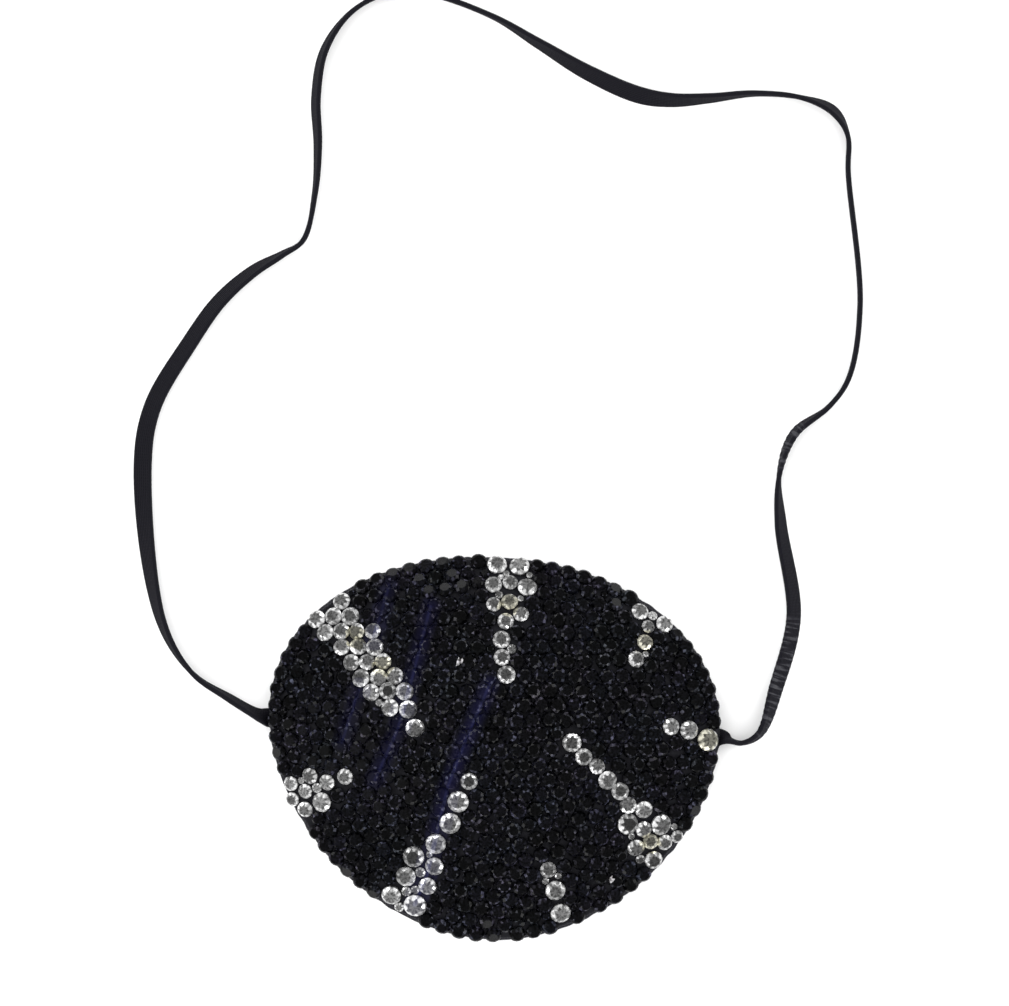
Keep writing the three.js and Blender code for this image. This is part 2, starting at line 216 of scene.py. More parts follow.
# ---------------------------------------------------------------------------------------------
# Materials
# ---------------------------------------------------------------------------------------------
class Finish:
    """A material with one Principled shader, and short ways to add nodes to it."""

    def __init__(self, name, roughness, **sockets):
        self.material = bpy.data.materials.new(name)
        self.material.use_nodes = True
        self.tree = self.material.node_tree
        self.shader = self.tree.nodes["Principled BSDF"]
        self.shader.inputs["Roughness"].default_value = roughness
        for socket, value in sockets.items():
            self.shader.inputs[socket.replace("_", " ")].default_value = value

    def node(self, kind, *inputs, **settings):
        made = self.tree.nodes.new(kind)
        for name, value in settings.items():
            setattr(made, name, value)
        for i, value in enumerate(inputs):
            if isinstance(value, bpy.types.NodeSocket):
                self.tree.links.new(value, made.inputs[i])
            elif value is not None:
                made.inputs[i].default_value = value
        return made

    def math(self, operation, *values):
        return self.node("ShaderNodeMath", *values, operation=operation).outputs[0]

    def place(self):
        return self.node("ShaderNodeTexCoord").outputs["Object"]

    def attribute(self, name, output="Color"):
        return self.node("ShaderNodeAttribute", attribute_name=name).outputs[output]

    def noise(self, place, scale, detail=3.0, stretch=None):
        if stretch:
            mapping = self.node("ShaderNodeMapping", place)
            mapping.inputs["Scale"].default_value = stretch
            place = mapping.outputs[0]
        noise = self.node("ShaderNodeTexNoise", place)
        noise.inputs["Scale"].default_value = scale
        noise.inputs["Detail"].default_value = detail
        return noise.outputs[0]

    def wave(self, position, period):
        """A sine from 0 to 1 along one coordinate."""
        turns = self.math("MULTIPLY", position, 2 * math.pi / period)
        return self.math("MULTIPLY_ADD", self.math("SINE", turns), 0.5, 0.5)

    def distance_to_line(self, place, points):
        """How far a place is, in plan, from the nearest part of a line of points in mm."""
        nearest = None
        flat = self.node("ShaderNodeVectorMath", place, (1, 1, 0), operation="MULTIPLY").outputs[0]
        for a, b in zip(points, points[1:]):
            a, b = Vector((*a, 0)) * MM, Vector((*b, 0)) * MM
            offset = self.node("ShaderNodeVectorMath", flat, a, operation="SUBTRACT").outputs[0]
            run = self.node("ShaderNodeVectorMath", offset, (b - a) / (b - a).length_squared,
                            operation="DOT_PRODUCT").outputs["Value"]
            run = self.node("ShaderNodeClamp", run).outputs[0]
            foot = self.node("ShaderNodeVectorMath", b - a, operation="SCALE")
            self.tree.links.new(run, foot.inputs["Scale"])
            gap = self.node("ShaderNodeVectorMath", offset, foot.outputs[0], operation="DISTANCE")
            distance = gap.outputs["Value"]
            nearest = self.math("MINIMUM", nearest, distance) if nearest else distance
        return nearest

    def fade(self, distance, reach):
        """1 where distance is 0, easing to 0 at reach."""
        fade = self.node("ShaderNodeMapRange", distance, interpolation_type="SMOOTHERSTEP")
        for socket, value in (("From Min", 0), ("From Max", reach), ("To Min", 1), ("To Max", 0)):
            fade.inputs[socket].default_value = value
        return fade.outputs[0]

    def mix(self, factor, first, second, blend="MIX"):
        mix = self.node("ShaderNodeMix", data_type="RGBA", blend_type=blend, clamp_result=True)
        sockets = {socket.identifier: socket for socket in mix.inputs}
        for name, value in (("Factor_Float", factor), ("A_Color", first), ("B_Color", second)):
            if isinstance(value, bpy.types.NodeSocket):
                self.tree.links.new(value, sockets[name])
            else:
                sockets[name].default_value = value
        return next(socket for socket in mix.outputs if socket.type == "RGBA")

    def ramp(self, factor, *stops):
        ramp = self.node("ShaderNodeValToRGB", factor)
        elements = ramp.color_ramp.elements
        for i, (position, colour) in enumerate(stops):
            element = elements[i] if i < len(elements) else elements.new(position)
            element.position = position
            element.color = (*colour, 1)
        return ramp.outputs[0]

    def feed(self, socket, output):
        self.tree.links.new(output, self.shader.inputs[socket])

    def bump(self, height, depth_mm):
        bump = self.node("ShaderNodeBump")
        bump.inputs["Strength"].default_value = 1.0
        bump.inputs["Distance"].default_value = depth_mm * MM
        self.tree.links.new(height, bump.inputs["Height"])
        self.feed("Normal", bump.outputs[0])


# Painted glare: soft streaks of blue reflection painted over the left half of the stones and the glue: points
# from the upper end, and strength.
BLUE_GLARE_LINES = [
    ([(-17.7, 27.7), (-20.2, 18.9)], 0.5),
    ([(-10.7, 24.1), (-13.8, 12.1), (-16.1, 3.8), (-20.0, -4.9)], 0.7),
    ([(-0.8, 11.1), (-5.0, 1.3), (-7.8, -6.0), (-9.6, -13.7), (-11.4, -21.0), (-13.4, -26.0)], 1.0),
    ([(-22.8, 10.1), (-25.6, 1.3)], 0.5),
]
GLARE_REACH = 2.5
GLARE_CORE_REACH = 0.45
GLARE_BLUE = (0.002, 0.0019, 0.0105, 1)
GLARE_CORE_BLUE = (0.009, 0.010, 0.032, 1)


def paint_blue_glare(finish, colour, strength):
    """Paints the blue glare streaks into a colour: a wide dim band with a fine brighter core."""
    place = finish.place()
    patchy = finish.noise(place, 260, 3)
    for points, share in BLUE_GLARE_LINES:
        distance = finish.distance_to_line(place, points)
        band = finish.math("MULTIPLY", finish.fade(distance, GLARE_REACH * MM), share * strength)
        core = finish.math("MULTIPLY", finish.fade(distance, GLARE_CORE_REACH * MM), share * strength)
        core = finish.math("MULTIPLY", core, patchy)
        colour = finish.mix(band, colour, GLARE_BLUE, "ADD")
        colour = finish.mix(core, colour, GLARE_CORE_BLUE, "ADD")
    return colour


def painted_facet_reflections(finish, spokes, blotches):
    """Painted reflections in a cut stone: spokes like those its back's facets would reflect, broken by
    blotches. in_stone holds a place across the stone, as a share of its radius, and the stone's own number
    from 0 to 1."""
    in_stone = finish.attribute("in_stone", "Vector")
    x, y, number = finish.node("ShaderNodeSeparateXYZ", in_stone).outputs
    angle = finish.math("ARCTAN2", y, x)
    turned = finish.math("MULTIPLY_ADD", number, 40, finish.math("MULTIPLY", angle, spokes))
    fan = finish.math("MULTIPLY_ADD", finish.math("SINE", turned), 0.5, 0.5)
    seeded = finish.node("ShaderNodeVectorMath", in_stone, (1, 1, 60), operation="MULTIPLY").outputs[0]
    blotch = finish.noise(seeded, blotches, 2)
    return finish.math("MULTIPLY", finish.math("MULTIPLY_ADD", fan, 0.35, 0.65), blotch)


def jet_glass():
    finish = Finish("jet_glass", 0.07, IOR=1.5, Specular_IOR_Level=0.032)
    # painted reflections: spokes and blotches that lighten and darken the jets' facets
    painted_reflections = finish.ramp(painted_facet_reflections(finish, 8, 3.0), (0.3, (0.25, 0.25, 0.25)), (0.55, (2.3, 2.3, 2.3)))
    clouds = finish.noise(finish.place(), 190, 3)
    hues = finish.ramp(
        clouds, (0.36, (1.03, 0.95, 0.97)), (0.5, (0.96, 0.96, 0.98)), (0.64, (0.9, 0.99, 0.97)))
    colour = finish.mix(1.0, finish.attribute("facet_colour_and_painted_light"), painted_reflections, "MULTIPLY")
    colour = finish.mix(1.0, colour, hues, "MULTIPLY")
    # painted blue glare over the jets
    finish.feed("Base Color", paint_blue_glare(finish, colour, 1.0))
    smear = finish.noise(finish.place(), 900, detail=2)
    finish.feed("Roughness", finish.math("MULTIPLY_ADD", smear, 0.16, 0.01))
    return finish.material


def foiled_glass():
    finish = Finish("foiled_glass", 0.1, Metallic=0.7, IOR=1.5, Coat_Weight=0.08, Coat_Roughness=0.05)
    # painted reflections: spokes and blotches that lighten and darken the crystals' facets
    painted_reflections = finish.ramp(painted_facet_reflections(finish, 8, 3.2), (0.26, (0.2, 0.2, 0.2)), (0.5, (1, 1, 1)))
    colour = finish.mix(1.0, finish.attribute("facet_colour_and_painted_light"), painted_reflections, "MULTIPLY")
    # painted blue glare, strong enough to tint the crystals violet
    finish.feed("Base Color", paint_blue_glare(finish, colour, 38))
    smear = finish.noise(finish.place(), 1400, detail=2)
    finish.feed("Roughness", finish.math("MULTIPLY_ADD", smear, 0.4, 0.1))
    return finish.material


def stone_glue():
    finish = Finish("stone_glue", 0.6, Specular_IOR_Level=0.02)
    lumps = finish.noise(finish.place(), 700)
    dark = finish.ramp(lumps, (0.3, (0.004, 0.004, 0.005)), (0.7, (0.011, 0.011, 0.013)))
    # painted blue glare over the glue
    finish.feed("Base Color", paint_blue_glare(finish, dark, 5.0))
    finish.bump(lumps, 0.1)
    return finish.material


def woven_black():
    finish = Finish("woven_black", 0.85, Sheen_Weight=0.03, Sheen_Roughness=0.5, Specular_IOR_Level=0.08)
    place = finish.node("ShaderNodeSeparateXYZ", finish.place())
    warp = finish.wave(place.outputs[0], 0.42 * MM)
    weft = finish.wave(place.outputs[1], 0.42 * MM)
    weave = finish.math("MULTIPLY", warp, weft)
    fuzz = finish.noise(finish.place(), 2600)
    height = finish.math("MULTIPLY_ADD", fuzz, 0.5, weave)
    finish.feed("Base Color", finish.ramp(height, (0.1, (0.004, 0.004, 0.006)), (1.0, (0.016, 0.016, 0.02))))
    finish.bump(height, 0.08)
    return finish.material


def black_felt():
    finish = Finish("black_felt", 0.95, Sheen_Weight=0.14, Sheen_Roughness=0.6, Specular_IOR_Level=0.1)
    place = finish.place()
    long_fibres = finish.noise(place, 2400, 4, stretch=(1, 0.18, 0.6))
    cross_fibres = finish.noise(place, 2400, 4, stretch=(0.2, 1, 0.6))
    clumps = finish.noise(place, 320, 2)
    fibres = finish.math("MAXIMUM", long_fibres, cross_fibres)
    height = finish.math("MULTIPLY_ADD", clumps, 0.6, fibres)
    finish.feed("Base Color", finish.ramp(height, (0.5, (0.006, 0.006, 0.008)), (1.2, (0.032, 0.032, 0.037))))
    finish.bump(height, 0.2)
    return finish.material


def knitted_elastic():
    """band_place holds the distance across and along the band in mm, and how ribbed it is there."""
    finish = Finish("knitted_elastic", 0.6, Sheen_Weight=0.01, Sheen_Roughness=0.4, Specular_IOR_Level=0.06)
    band_place = finish.attribute("band_place", "Vector")
    across, along, ribbed = finish.node("ShaderNodeSeparateXYZ", band_place).outputs
    lengthwise = finish.wave(across, 0.36)
    stitches = finish.wave(finish.math("MULTIPLY_ADD", lengthwise, 0.2, along), 0.5)
    drawn = finish.noise(band_place, 1.0, 2, stretch=(0.14, 1.5, 0))
    broken = finish.noise(band_place, 1.0, 2, stretch=(0.8, 0.5, 0))
    bars = finish.fade(finish.math("MULTIPLY_ADD", drawn, -1, 0.62), 0.16)
    bars = finish.math("MULTIPLY", bars, finish.math("MULTIPLY", broken, 0.9))
    bars = finish.math("MULTIPLY", bars, ribbed)
    height = finish.math("MULTIPLY_ADD", stitches, 0.35, lengthwise)
    height = finish.math("MULTIPLY_ADD", bars, 1.5, height)
    shade = finish.math("MULTIPLY_ADD", bars, 0.9, finish.math("MULTIPLY", height, 0.2))
    finish.feed("Base Color", finish.ramp(
        shade, (0.0, (0.0022, 0.0022, 0.0036)), (0.3, (0.005, 0.0047, 0.0078)), (1.0, (0.05, 0.05, 0.056))))
    finish.bump(height, 0.06)
    return finish.material


def black_thread():
    finish = Finish("black_thread", 0.5, Sheen_Weight=0.08, Specular_IOR_Level=0.3)
    plies = finish.noise(finish.place(), 5200, 2, stretch=(1, 0.3, 1))
    finish.feed("Base Color", finish.ramp(plies, (0.3, (0.008, 0.008, 0.01)), (0.7, (0.03, 0.03, 0.034))))
    finish.bump(plies, 0.04)
    return finish.material


def shell_board():
    finish = Finish("shell_board", 0.75, Specular_IOR_Level=0.3)
    grain = finish.noise(finish.place(), 1500, 5)
    finish.feed("Base Color", finish.ramp(grain, (0.3, (0.03, 0.03, 0.032)), (0.7, (0.06, 0.06, 0.063))))
    finish.bump(grain, 0.06)
    return finish.material


def pale_paper():
    finish = Finish("pale_paper", 0.7, Specular_IOR_Level=0.2)
    grain = finish.noise(finish.place(), 60, 4)
    finish.feed("Base Color", finish.ramp(grain, (0.2, (0.9, 0.9, 0.9)), (0.8, (0.93, 0.93, 0.93))))
    return finish.material


# ---------------------------------------------------------------------------------------------
# Stones
# ---------------------------------------------------------------------------------------------
TABLE = 0.6                 # radii of a cut stone's rings of corners, as shares of its own radius
CROWN = 0.84
TABLE_HEIGHT = 0.66         # and their heights, as shares of that radius
CROWN_HEIGHT = 0.48
GIRDLE_HEIGHT = 0.26
CUTS = 8
CLEARANCE = 0.2             # what the CAD leaves between two crystals, which really touch
JET_TILT = 0.08             # radians that a glued jet may lean out of true
CRYSTAL_TILT = 0.06
CLUSTER_TILT = 0.13         # the stones of the crowded rays lean on one another,
CROWDING = 0.22             # and are that much wider than listed, so they overlap by half of it
STONE_GAP = 0.01
RIM_ROW = 0.966             # the share of the outline's radius where the outermost stones stand
JET = 2.8                   # the usual jet's diameter
SMALLEST_JET = 2.2
LARGEST_JET = 3.1
SMALLEST_FILLER = 1.1
RIM_PITCH = 2.95
HONEYCOMB_PITCH = 2.65      # closer than the jets are wide, so that settling presses them together
UNEVENNESS = 0.28           # how far the honeycomb's places stray, as a standard deviation
COMB_ROWS = (-34, 34)       # the honeycomb's extent, well past the outline
COMB_COLUMNS = (-40, 40)
RIM_POINTS = 721            # points that measure the way round the rim
RIM_OVERLAP = 0.7           # how far a seed may lie in a stone that is already there
COMB_OVERLAP = 0.9
SETTLING = ((0.7, 0.3), (0.5, 0.2), (0.4, 0.1))     # each stage's allowed overlap, and its gap
FITTING_ROUNDS = 60
FILLER_GRID = 0.3
PAIR_REACH = 5.0
PUSH = 0.35                 # the share of an overlap that one round of settling takes out
MIDDLE = np.array([0, WIDEST_Y])

# The stones of the two rays that the CAD joins into clusters: x, y and diameter.
CLUSTERS = {
    "upper_left": [
        (-25.7, 24.7, 2.6), (-29.5, 21.8, 2.7), (-27.2, 22.4, 2.6), (-24.2, 22.3, 2.7), (-27.8, 19.7, 2.6),
        (-25.5, 19.8, 2.5), (-23.1, 19.7, 2.4), (-20.9, 19.5, 2.4), (-25.3, 17.2, 2.5), (-23.0, 17.2, 2.5),
        (-20.5, 17.0, 2.6), (-23.6, 14.9, 2.4), (-21.3, 14.9, 2.4), (-18.9, 14.7, 2.4), (-21.9, 12.4, 2.7),
        (-19.4, 12.5, 2.5), (-17.0, 12.2, 2.5), (-20.2, 9.9, 2.5), (-17.8, 10.0, 2.5), (-15.2, 9.9, 2.6),
        (-17.3, 7.5, 2.6), (-14.6, 7.0, 2.7), (-13.3, 3.9, 2.8),
    ],
    "lower_right": [
        (30.4, -15.3, 1.8), (28.3, -15.4, 2.3), (26.7, -18.5, 2.7), (24.6, -16.1, 2.6), (26.6, -15.6, 2.2),
        (27.7, -12.6, 3.2), (25.1, -13.2, 2.4), (22.4, -12.1, 3.2), (24.9, -9.9, 2.6), (22.3, -9.2, 2.5),
        (21.0, -7.0, 2.6), (19.0, -5.0, 2.8), (17.3, -2.9, 2.3), (14.9, -1.0, 2.5), (13.0, 1.4, 2.8),
    ],
}

# Painted glints: jets whose facets near these places are painted lighter, away from the rays: x and y.
GLINTING_JETS = [(-5.8, 14.8), (11.9, 1.8), (19.7, -21.8)]
GLINT_REACH = 0.5
PAINTED_GLINT = 0.2


def near_pairs(stones):
    """The pairs of stones that stand close enough to touch, as two rows of numbers."""
    apart = stones[:, None, :2] - stones[None, :, :2]
    close = (apart ** 2).sum(axis=2) < PAIR_REACH ** 2
    return np.argwhere(np.triu(close, 1)).T


def pair_gaps(stones, pairs):
    """The gap between the edges of each pair's two stones, over the dome."""
    first, second = pairs
    raised = on_dome(stones, 0)
    reach = (stones[first, 2] + stones[second, 2]) / 2
    return np.linalg.norm(raised[first] - raised[second], axis=1) - reach


def nearest_gaps(stones):
    """The gap from each stone to its nearest neighbour."""
    pairs = near_pairs(stones)
    gaps = pair_gaps(stones, pairs)
    nearest = np.full(len(stones), PAIR_REACH)
    np.minimum.at(nearest, pairs[0], gaps)
    np.minimum.at(nearest, pairs[1], gaps)
    return nearest


def settle(stones, fixed, rounds, gap=STONE_GAP):
    """Pushes stones (x, y, diameter) apart until that gap is between them. The first ones stay put."""
    stones = stones.copy()
    for k in range(rounds):
        if k % 10 == 0:
            pairs = near_pairs(stones)
            first, second = pairs
        deep = np.clip(gap - pair_gaps(stones, pairs), 0, None)
        apart = stones[first, :2] - stones[second, :2]
        apart /= np.linalg.norm(apart, axis=1, keepdims=True)
        push = apart * deep[:, None] * PUSH
        move = np.zeros((len(stones), 2))
        np.add.at(move, first, push)
        np.add.at(move, second, -push)
        move[:fixed] = 0
        stones[:, :2] += move
        beyond = np.clip(shares_of(stones) / RIM_ROW, 1, None)
        beyond[:fixed] = 1
        stones[:, :2] = (stones[:, :2] - MIDDLE) / beyond[:, None] + MIDDLE
    return stones


def without_the_crowded(stones, fixed, allowed):
    """Takes out, worst first, the jets that are deeper than that in a neighbour."""
    while True:
        deepest = -nearest_gaps(stones)
        deepest[:fixed] = 0
        worst = int(deepest.argmax())
        if deepest[worst] < allowed:
            return stones
        stones = np.delete(stones, worst, axis=0)


def with_fitted_sizes(stones, fixed):
    """Shrinks and grows the jets, within the usual sizes, until each just fits its room."""
    stones = stones.copy()
    for _ in range(FITTING_ROUNDS):
        room = nearest_gaps(stones)[fixed:] - STONE_GAP
        stones[fixed:, 2] = np.clip(stones[fixed:, 2] + 0.6 * room, SMALLEST_JET, LARGEST_JET)
        stones = settle(stones, fixed, rounds=2)
    return stones


def seeds_for_jets(crystals):
    """A row of jets round the rim, and a slightly uneven honeycomb of them within it."""
    angles = np.linspace(0, 2 * math.pi, RIM_POINTS)
    line = at_shares(np.full(len(angles), RIM_ROW), angles)
    run = np.concatenate([[0], np.cumsum(np.linalg.norm(np.diff(line, axis=0), axis=1))])
    count = int(run[-1] / RIM_PITCH)
    places = np.arange(count) * run[-1] / count
    rim = np.column_stack([np.interp(places, run, line[:, 0]), np.interp(places, run, line[:, 1])])
    rows = np.arange(*COMB_ROWS, HONEYCOMB_PITCH * math.sqrt(3) / 2)
    columns = np.arange(*COMB_COLUMNS, HONEYCOMB_PITCH)
    comb = [(x + HONEYCOMB_PITCH / 2 * (k % 2), y) for k, y in enumerate(rows) for x in columns]
    comb = np.array(comb) + rng.normal(0, UNEVENNESS, (len(comb), 2))
    jets = np.concatenate([rim, comb[shares_of(comb) < RIM_ROW]])
    jets = np.column_stack([jets, np.full(len(jets), JET)])
    kept = list(crystals)
    for k, jet in enumerate(jets):
        on_rim = k < count
        inside = RIM_OVERLAP if on_rim else COMB_OVERLAP
        others = np.array(kept[:len(crystals)] if on_rim else kept[:len(crystals) + count])
        gaps = np.linalg.norm(others[:, :2] - jet[:2], axis=1) - (others[:, 2] + jet[2]) / 2
        if gaps.min() > -inside:
            kept.append(jet)
    return np.array(kept)


def fillers(stones):
    """Small stones for the largest holes that are left."""
    steps = np.arange(-HALF_WIDTH, HALF_WIDTH, FILLER_GRID)
    grid = np.array([(x, y) for x in steps for y in steps + WIDEST_Y])
    grid = grid[shares_of(grid) < RIM_ROW]
    raised = on_dome(grid, 0)
    room = np.full(len(grid), PAIR_REACH)
    for place, stone in zip(on_dome(stones, 0), stones):
        room = np.minimum(room, np.linalg.norm(raised - place, axis=1) - stone[2] / 2)
    added = []
    while room.max() > SMALLEST_FILLER / 2:
        best = int(room.argmax())
        diameter = min(2 * room[best], SMALLEST_JET)
        added.append((*grid[best], diameter))
        room = np.minimum(room, np.linalg.norm(raised - raised[best], axis=1) - diameter / 2)
    return np.array(added)


def lay_jets(crystals):
    """Fills the dome with jets round the crystals, edge to edge. The small stones that fill the holes
    are clear where most of a hole's neighbours are. Returns the jets, and the small clear stones."""
    fixed = len(crystals)
    stones = seeds_for_jets(crystals)
    for allowed, gap in SETTLING:
        stones = settle(stones, fixed, rounds=150, gap=gap)
        stones = without_the_crowded(stones, fixed, allowed)
    stones = with_fitted_sizes(stones, fixed)
    small = fillers(stones)
    away = np.linalg.norm(small[:, None, :2] - stones[None, :, :2], axis=2) - stones[:, 2] / 2
    clear = (np.argsort(away, axis=1)[:, :3] < fixed).sum(axis=1) > 1
    return np.concatenate([stones[fixed:], small[~clear]]), small[clear]


def stone_template():
    """Corners and facets of a flat-back stone of radius 1, and which tier each facet is in."""
    def ring(count, radius, height, turn=0.0):
        angles = (np.arange(count) + turn) / count * 2 * math.pi
        return [(radius * math.cos(a), radius * math.sin(a), height) for a in angles]

    corners = ring(CUTS, TABLE, TABLE_HEIGHT)
    corners += ring(CUTS, CROWN, CROWN_HEIGHT, turn=0.5)
    corners += ring(2 * CUTS, 1.0, GIRDLE_HEIGHT)
    corners += ring(2 * CUTS, 0.97, 0.0)
    crown, girdle, back = CUTS, 2 * CUTS, 4 * CUTS
    facets = [(tuple(range(CUTS)), "table")]
    for k in range(CUTS):
        after = (k + 1) % CUTS
        before = (k - 1) % CUTS
        tip = girdle + 2 * k
        side = girdle + 2 * k + 1
        next_tip = girdle + 2 * after
        facets.append(((k, crown + k, after), "star"))
        facets.append(((k, crown + before, tip, crown + k), "kite"))
        facets.append(((crown + k, tip, side), "half"))
        facets.append(((crown + k, side, next_tip), "half"))
    for k in range(2 * CUTS):
        after = (k + 1) % (2 * CUTS)
        facets.append(((girdle + k, back + k, back + after, girdle + after), "girdle"))
    facets.append((tuple(back + k for k in reversed(range(2 * CUTS))), "back"))
    return np.array(corners), facets


CORNERS, FACETS = stone_template()


def stones_mesh(name, stones, tilt, facet_colour_of):
    """One mesh of cut stones standing on the glue, with a colour for each facet: the stone's tone, with
    painted glints and reflections.
    """
    places = on_dome(stones, STONE_BACK)
    normals = dome_normals(stones)
    points, faces, facet_colours, inside = [], [], [], []
    for stone, place, normal in zip(stones, places, normals):
        radius = stone[2] / 2
        normal = normal + rng.normal(0, tilt, 3)
        normal /= np.linalg.norm(normal)
        spin = rng.random() * 2 * math.pi
        side = np.cross([-math.sin(spin), math.cos(spin), 0], normal)
        side /= np.linalg.norm(side)
        axes = np.array([side, np.cross(normal, side), normal])
        corners = CORNERS * radius @ axes + place
        start = len(points)
        points.extend(corners)
        shade = rng.random()
        inside.extend((x, y, shade) for x, y, _ in CORNERS)
        for facet, tier in FACETS:
            faces.append(tuple(start + i for i in facet))
            facet_colours.append(facet_colour_of(tier, corners[list(facet)].mean(axis=0), shade))
    made = mesh_object(name, points, faces, smooth=False)
    layer = made.data.attributes.new("facet_colour_and_painted_light", "FLOAT_COLOR", "FACE")
    layer.data.foreach_set("color", np.column_stack([facet_colours, np.ones(len(facet_colours))]).ravel())
    layer = made.data.attributes.new("in_stone", "FLOAT_VECTOR", "POINT")
    layer.data.foreach_set("vector", np.array(inside, np.float32).ravel())
    return made


def jet_tone_and_painted_light(tier, place, shade):
    # Painted glints: a few facets off the table get a lighter speck. The girdle walls, which lie in shade,
    # are painted lighter.
    painted_speck = 0.026 * rng.random() ** 6
    dark = 0.0006 + 0.0009 * shade + painted_speck * (tier != "table") + 0.002 * (tier == "girdle")
    # a painted glint on facets near the listed places
    painted_glint_here = min(math.dist(place[:2], spot) for spot in GLINTING_JETS) < GLINT_REACH
    return np.array([dark, dark, dark * (1.15 + 0.4 * shade)]) + PAINTED_GLINT * painted_glint_here


# Painted reflection: a grey range for each tier of a crystal's facets, dark on the table and bright on the
# outer facets.
CRYSTAL_REFLECTION_GREYS = {"table": (0.01, 0.15), "star": (0.02, 0.3), "kite": (0.22, 0.75), "half": (0.5, 0.9),
                 "girdle": (0.55, 0.85), "back": (0.5, 0.5)}

# The middles of the groups of crystals that have a yellowish tint: x and y.
WARM_SPOTS = [(2.4, 24.3), (25.3, 18.3), (35.8, 1.6), (-23.4, 19.0), (-18.7, 14.0), (26.3, -15.8)]
WARM_REACH = 1.8
WARMTH = 0.2


def crystal_reflection_and_warmth(tier, place, shade):
    # a painted reflection grey for the facet's tier, warmed near the yellowish crystals
    low, high = CRYSTAL_REFLECTION_GREYS[tier]
    grey = low + (high - low) * (0.5 * shade + 0.5 * rng.random())
    near = min(math.dist(place[:2], spot) for spot in WARM_SPOTS) < WARM_REACH
    warm = WARMTH if near else 0.0
    return grey * np.array([1, 1 - warm * 0.15, 1 - warm])


def crystal_nodes():
    single = [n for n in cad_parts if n.startswith("crystal_") and "cluster" not in n]
    return sorted(single)


def stone_in(node):
    low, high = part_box(node)
    middle = (low + high) / 2
    return (middle.x / MM, middle.y / MM, max(high.x - low.x, high.y - low.y) / MM + CLEARANCE)


def make_stones():
    jet, foiled = jet_glass(), foiled_glass()
    singles = {node: np.array([stone_in(node)]) for node in crystal_nodes()}
    clusters = {}
    for ray, stones in CLUSTERS.items():
        crowded = np.array(stones) + [0, 0, CLEARANCE + CROWDING]
        clusters[ray] = settle(crowded, 0, rounds=80, gap=-CROWDING / 2)
    crystals = np.concatenate([*singles.values(), *clusters.values()])
    for node, stone in singles.items():
        piece = stones_mesh(node.replace("crystal", "clear_stone"), stone, CRYSTAL_TILT, crystal_reflection_and_warmth)
        finish_piece(piece, foiled, "crystal", node)
    for ray, stones in clusters.items():
        piece = stones_mesh("clear_stones_" + ray, stones, CLUSTER_TILT, crystal_reflection_and_warmth)
        finish_piece(piece, foiled, "crystal", "crystal_cluster_" + ray)
    jets, small = lay_jets(crystals)
    piece = stones_mesh("jet_stones", jets, JET_TILT, jet_tone_and_painted_light)
    finish_piece(piece, jet, "jet_stone", "jet_stone_field")
    piece = stones_mesh("small_clear_stones", small, CRYSTAL_TILT, crystal_reflection_and_warmth)
    finish_piece(piece, foiled, "crystal")


# ---------------------------------------------------------------------------------------------
# Layers and edge
# ---------------------------------------------------------------------------------------------
SEGMENTS = 240
LAYER_RINGS = 26
COVER_THICKNESS = 0.45
GLUE_THICKNESS = 0.2
COVER_END = 0.978           # the shares of the outline's radius where the layers end
GLUE_END = 0.97
LINING_END = 0.92
PUCKER_DEPTH = 0.12
PUCKERS = 47


def layer_profile(lift, thickness, end):
    """A domed sheet with a rounded edge, from the middle of its underside to the middle of its top."""
    shares = end * np.linspace(0, 1, LAYER_RINGS) ** 0.8
    under = [(share, hollow_height(share) + lift) for share in shares]
    edge = (end + 0.006, hollow_height(end) + lift + thickness / 2)
    over = [(share, height + thickness) for share, height in reversed(under)]
    return [*under, edge, *over]


def fabric_ripple(depth, waves):
    """Uneven puckers that run round the edge, fading towards the middle."""
    phases = rng.random(4) * 2 * math.pi

    def ripple(points, angles):
        swing = sum(np.sin(angles * waves * (1 + 0.27 * i) + phases[i]) for i in range(4)) / 4
        outward = np.column_stack([np.cos(angles), np.sin(angles)])
        for ring in points:
            fade = shares_of(ring[:1]) ** 12
            ring[:, :2] += outward * (swing * depth * fade)[:, None]
        return points

    return ripple


def make_layers():
    weave, glue = woven_black(), stone_glue()
    cover_profile = layer_profile(COVER_TOP - COVER_THICKNESS, COVER_THICKNESS, COVER_END)
    cover = turned("cover_fabric", cover_profile, SEGMENTS)
    finish_piece(cover, weave, "cover_fabric", "front_cover")
    bed_profile = layer_profile(STONE_BACK - GLUE_THICKNESS, GLUE_THICKNESS, GLUE_END)
    bed = turned("glue_bed", bed_profile, SEGMENTS)
    finish_piece(bed, glue, "adhesive", "adhesive_bed")
    lining = turned("felt_lining", layer_profile(0, LINING, LINING_END), SEGMENTS, felt_lumps)
    finish_piece(lining, black_felt(), "lining_felt", "back_lining")
    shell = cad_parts["moulded_shell"]
    shell.data.materials.clear()
    shell.data.materials.append(shell_board())


def felt_lumps(points, angles):
    """Slight hollows and rises in the felt's open face."""
    for ring in points[:LAYER_RINGS - 1]:
        broad = np.sin(ring[:, 0] * 0.9 + 1) * np.sin(ring[:, 1] * 0.8)
        fine = np.sin(ring[:, 0] * 2.1 - ring[:, 1] * 1.7)
        ring[:, 2] += 0.05 * broad + 0.03 * fine
    return points


